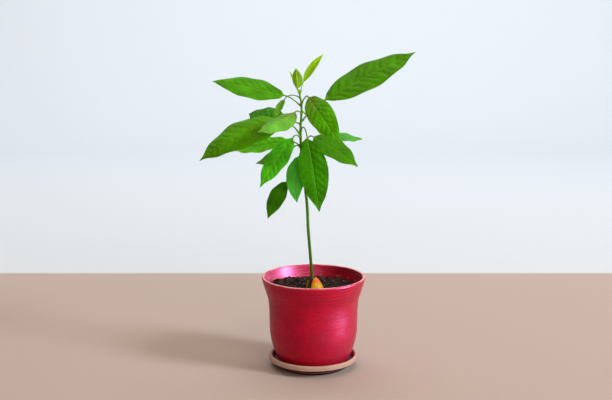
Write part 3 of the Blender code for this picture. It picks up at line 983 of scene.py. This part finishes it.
def stalkCourse(plan, radius, ahead):
    # The stalk's points and directions. It sets out from inside the stem, and over its last stretch it turns
    # into the blade's own direction. "clear" is how far out from the stem's middle its free part starts.
    length, heading, pitch, bend = plan["stalk"]
    part = np.linspace(0, 1, leafShape["stalkRows"])[:, None]
    pitches = pitch + bend * (0.5 - part[:, 0])
    out = pointing(pitches, np.full(len(part), float(heading)))
    joining = ease((part - 0.7) / 0.3)
    out = unit(out * (1 - joining) + ahead * joining)
    tilt = radius * abs(math.sin(math.radians(pitches[0])))
    clear = stemRadius(plan["joint"]) + touchGap + tilt
    start = stemMiddle(np.array([plan["joint"]]))[0] + clear * pointing(0, heading)
    points = np.vstack([start - out[0] * (clear - 0.0006), runAlong(start, out, length)])
    return points, np.vstack([out[:1], out]), clear


def bladeSheet(plan, rows, radius, seed):
    # The blade's upper and lower faces, as heights over a grid of s, 0 to 1 along it, and a, -1 to 1 across.
    # They are folded and cambered, rippled at the margin, quilted between the side veins, grooved over the
    # midrib, which stands out below, and drawn into the round stalk at the foot. A vein runs where phase is
    # whole, and reach is how far a point is from the midrib.
    shape = leafShape
    length, width, *_, fold = plan["blade"]
    fold = math.radians(fold)
    spread = np.linspace(-1, 1, 2 * shape["halfColumns"] + 1)
    a = (np.sign(spread) * np.abs(spread) ** shape["columnPower"])[None]
    s = np.linspace(0, 1, rows)[:, None]
    outline = np.sin(np.pi * s ** shape["widestPower"]).clip(0) ** shape["fullness"]
    half = 0.5 * width * outline * (1 - shape["tipDraw"] * ease((s - 0.8) / 0.2)) + 0.0003
    x = a * half * math.cos(fold)
    reach, margin = np.abs(x), 1 - np.abs(a)
    slant = (shape["veinSlant"] * reach + shape["veinCurve"] * reach**2) / length
    sheet = np.stack([s * length + 0 * x, x, 0 * x], -1)
    phase = plan["veins"] * (s - slant) + 0.5 * (a > 0) + shape["stray"] * ruffle(sheet, 0.03, seed + 40)
    crinkle = shape["crinkle"] * ruffle(sheet, 0.006, seed + 80) * ease(margin / 0.3) * ease(s / 0.1)
    toVein = np.abs((phase + 0.5) % 1 - 0.5) * length / plan["veins"]
    inner = ease(np.abs(a) / 0.2) * ease(margin / 0.35) * ease(s / 0.08) * ease((1 - s) / 0.12)
    size = min(1.0, length / shape["quiltedLength"]) ** 1.5
    quilt = size * shape["quilt"] * (0.5 - 0.5 * np.cos(2 * np.pi * phase)) * inner
    turns = shape["waves"] * s + 0.11 * seed + 0.5 * (a > 0)
    wave = plan["wave"] * np.sin(2 * np.pi * turns) * np.abs(a) ** 2.5 * ease(s / 0.1) * ease((1 - s) / 0.1)
    lift = np.abs(a) * half * math.sin(fold) - shape["camber"] * half * a**2
    groove = -shape["groove"] * size * bell(reach, shape["grooveWidth"]) * (1 - s) * ease(s / 0.05)
    upper = lift + quilt + wave + groove + crinkle
    ribSize = radius * (1 - 0.85 * s)
    rib = shape["ribHeight"] * ribSize * bell(reach, 1.1 * ribSize + 0.0001)
    raised = shape["veinHeight"] * size * bell(toVein, shape["veinWidth"]) * inner
    lower = upper - shape["thickness"] * (1 - 0.9 * np.abs(a) ** 6) - rib - raised
    flat = ease(s / shape["neck"])
    dome = radius * np.sqrt(1 - a**2)
    x = flat * x + (1 - flat) * radius * a
    upper, lower = flat * upper + (1 - flat) * dome, flat * lower - (1 - flat) * dome
    return s, a, x, upper, lower, phase, reach


def buildLeaf(name, plan, material, seed):
    # Rings round the stalk and then round the blade, with the fields that its material reads.
    length, _, heading, pitch, bend, sway, roll, _ = plan["blade"]
    radius = leafShape["stalkRadius"] + leafShape["stalkRadiusPerLength"] * length
    rows = int(length / leafShape["rowLength"]) + 24
    along, sides, faces = bladeFrames(rows, heading, pitch, bend, sway, roll)
    stalk, out, clear = stalkCourse(plan, radius, along[0])
    s, a, x, upper, lower, phase, reach = bladeSheet(plan, rows, radius, seed)
    middles = runAlong(stalk[-1], along, length)
    bladeRings = ringsRound(middles, sides, faces, bothFaces(x, x), bothFaces(upper, lower))

    stalkLength = plan["stalk"][0]
    fromStem = np.linspace(-clear, stalkLength, len(out))[:, None]
    thick = radius * (1 + 0.45 * bell(fromStem, 0.0022) + 0.12 * bell(fromStem - stalkLength, 0.004))
    dome = np.sqrt(1 - a**2)
    across = unit(sides[0] - out * (out @ sides[0])[:, None])
    over = np.cross(out, across)
    stalkRings = ringsRound(stalk, across, over, bothFaces(a, a) * thick, bothFaces(dome, -dome) * thick)
    rings = np.vstack([stalkRings[:-1], bladeRings])

    def overRings(stalkValue, bladeValues):
        # one number on the stalk, and the blade's own values above and below
        both = bothFaces(bladeValues, bladeValues)
        return np.vstack([np.full((len(stalkRings) - 1, both.shape[1]), stalkValue), both])

    below = overRings(0.0, 0 * x)
    below[len(stalkRings) - 1:, a.shape[1]:] = 1.0
    # painted shadow of the leaves above, laid over the blade's foot and fading out towards its middle
    paintedShadow = plan.get("footShadow", 0.0) * ease((0.55 - s) / 0.45) * (0.55 + 0.45 * np.sin(9 * s + 2.5 * a))
    # the leaf's green, painted light included, varied a little at random over the blade
    green = np.array([*plan["green"], 1.0]) * np.ones((*rings.shape[:2], 1))
    green[..., :3] *= (1 + 0.12 * ruffle(rings, 0.03, seed))[..., None]
    fields = {
        "below": below,
        "blade": overRings(0.0, ease(s / 0.06) + 0 * a),
        "paintedShadow": overRings(0.0, paintedShadow),
        "edge": overRings(0.0, np.abs(a) + 0 * s),
        "green": green.clip(0, 1),
    }
    fields = {label: overLoft(values) for label, values in fields.items()}
    uv = np.stack([overRings(0.5, phase), overRings(9.0, 1000 * reach)], -1)
    addPiece(name + "_blade", loft(rings), material, [name], fields, overLoft(uv), sharp=60)


matureGreen, youngGreen = leafMaterial("leafMature"), leafMaterial("leafYoung")
for order, (leafName, leafRow) in enumerate(leafPlan.items(), 1):
    isYoung = leafName.startswith("young")
    leafGreen, leafSlot = (youngGreen, "young_leaf") if isYoung else (matureGreen, "leaf")
    buildLeaf(leafName, leafRow, leafGreen, order)
print("leaves built:", len(leafPlan))


stage = {
    "paleFrom": 0.565,
    "paleBlend": 0.008,
    "curveRadius": 1.4,
    "backDistance": 4.0,
    "backHeight": 5.0,
    "halfWidth": 9.0,
    "front": -9.0,
    "nearColour": srgb(184, 168, 162),
    "farColour": srgb(208, 215, 224),
}


def buildStage():
    # One sheet of paper, level under the pot. It turns paler some way behind it and curves up far away.
    radius, back = stage["curveRadius"], stage["backDistance"]
    curve = arc((back - radius, radius), radius, -90, 0, 40)
    line = np.vstack([[(stage["front"], 0.0)], curve, [(back, stage["backHeight"])]])
    line[:, 1] -= 0.0001
    sideways = np.array([-stage["halfWidth"], stage["halfWidth"]])
    points = np.stack([np.tile(sideways, len(line)), np.repeat(line[:, 0], 2), np.repeat(line[:, 1], 2)], 1)
    k = 2 * np.arange(len(line) - 1)
    mesh = bpy.data.meshes.new("studioSweep")
    mesh.from_pydata(points.tolist(), [], np.stack([k, k + 1, k + 3, k + 2], 1).tolist())
    mesh.shade_smooth()
    material, tree, spot = newMaterial("studioPaper", Roughness=0.8, Specular_IOR_Level=0.0)
    edge, blend = stage["paleFrom"], stage["paleBlend"]
    pale = rise(tree, split(tree, spot)[1], edge - blend, edge + blend)
    paper = blendColour(tree, pale, stage["nearColour"], stage["farColour"])
    tree.links.new(paper, tree.nodes["Principled BSDF"].inputs["Base Color"])
    mesh.materials.append(material)
    sweep = bpy.data.objects.new("studioSweep", mesh)
    show(sweep)


# Each lamp: where it is, what it aims at, its width and height, its power in watts and its colour. A lamp
# for the glaze only is a card that gives the pot its bright strip, and lights nothing else.
lamps = {
    "key": {"at": (5.6, -2.5, 3.3), "aim": (0.0, 0.0, 0.2), "size": (1.4, 2.2), "power": 400.0,
            "colour": (0.9, 0.965, 1.0)},
    "card": {"at": (3.2, -1.05, 0.6), "aim": (0.0, 0.0, 0.08), "size": (1.1, 1.1), "power": 900.0,
             "colour": (1.0, 0.97, 1.0), "glazeOnly": True},
    "fill": {"at": (1.3, -3.4, 1.7), "aim": (0.0, 0.0, 0.2), "size": (2.2, 2.2), "power": 48.0,
             "colour": (1.0, 0.82, 0.6)},
    "overhead": {"at": (0.0, 0.0, 3.0), "aim": (0.0, 0.0, 0.0), "size": (2.4, 2.4), "power": 24.0,
                 "colour": (1.0, 0.76, 0.5)},
    "backWash": {"at": (-0.5, 1.6, 3.2), "aim": (-0.3, 3.6, 0.4), "size": (5.0, 1.0), "power": 90.0,
                 "colour": (0.95, 0.98, 1.0)},
}

surround = {"colour": (1.0, 0.8, 0.6, 1.0), "strength": 0.22}


def addLamps():
    for name, lamp in lamps.items():
        light = bpy.data.lights.new(name, "AREA")
        light.shape = "RECTANGLE"
        light.size, light.size_y = lamp["size"]
        light.energy = lamp["power"]
        light.color = lamp["colour"]
        holder = bpy.data.objects.new(name, light)
        holder.location = lamp["at"]
        holder.visible_camera = False
        if lamp.get("glazeOnly"):
            holder.visible_diffuse = False
            glazed = bpy.data.collections.new("glazed")
            glazed.objects.link(bpy.data.objects["glazedPot"])
            holder.light_linking.receiver_collection = glazed
        aim = np.array(lamp["aim"]) - lamp["at"]
        level = math.hypot(aim[0], aim[1])
        holder.rotation_euler = (math.atan2(level, -aim[2]), 0.0, math.atan2(-aim[0], aim[1]))
        show(holder)
    world = bpy.data.worlds.new("softSurround")
    world.use_nodes = True
    sky = world.node_tree.nodes["Background"]
    sky.inputs["Color"].default_value = surround["colour"]
    sky.inputs["Strength"].default_value = surround["strength"]
    bpy.context.scene.world = world


cameraView = {
    "at": (-0.011, -1.461, 0.503),
    "down": 9.83,
    "focalPixels": 1016.0,
    "pictureWidth": 612.0,
    "sensor": 36.0,
}


def addCamera():
    camera = bpy.data.cameras.new("camera")
    camera.sensor_width = cameraView["sensor"]
    camera.lens = cameraView["focalPixels"] / cameraView["pictureWidth"] * cameraView["sensor"]
    holder = bpy.data.objects.new("camera", camera)
    holder.location = cameraView["at"]
    holder.rotation_euler = (math.radians(90 - cameraView["down"]), 0.0, 0.0)
    show(holder)
    bpy.context.scene.camera = holder


buildStage()
addLamps()
addCamera()
bpy.context.scene.view_settings.view_transform = "Standard"
print("stage, lamps and camera set")
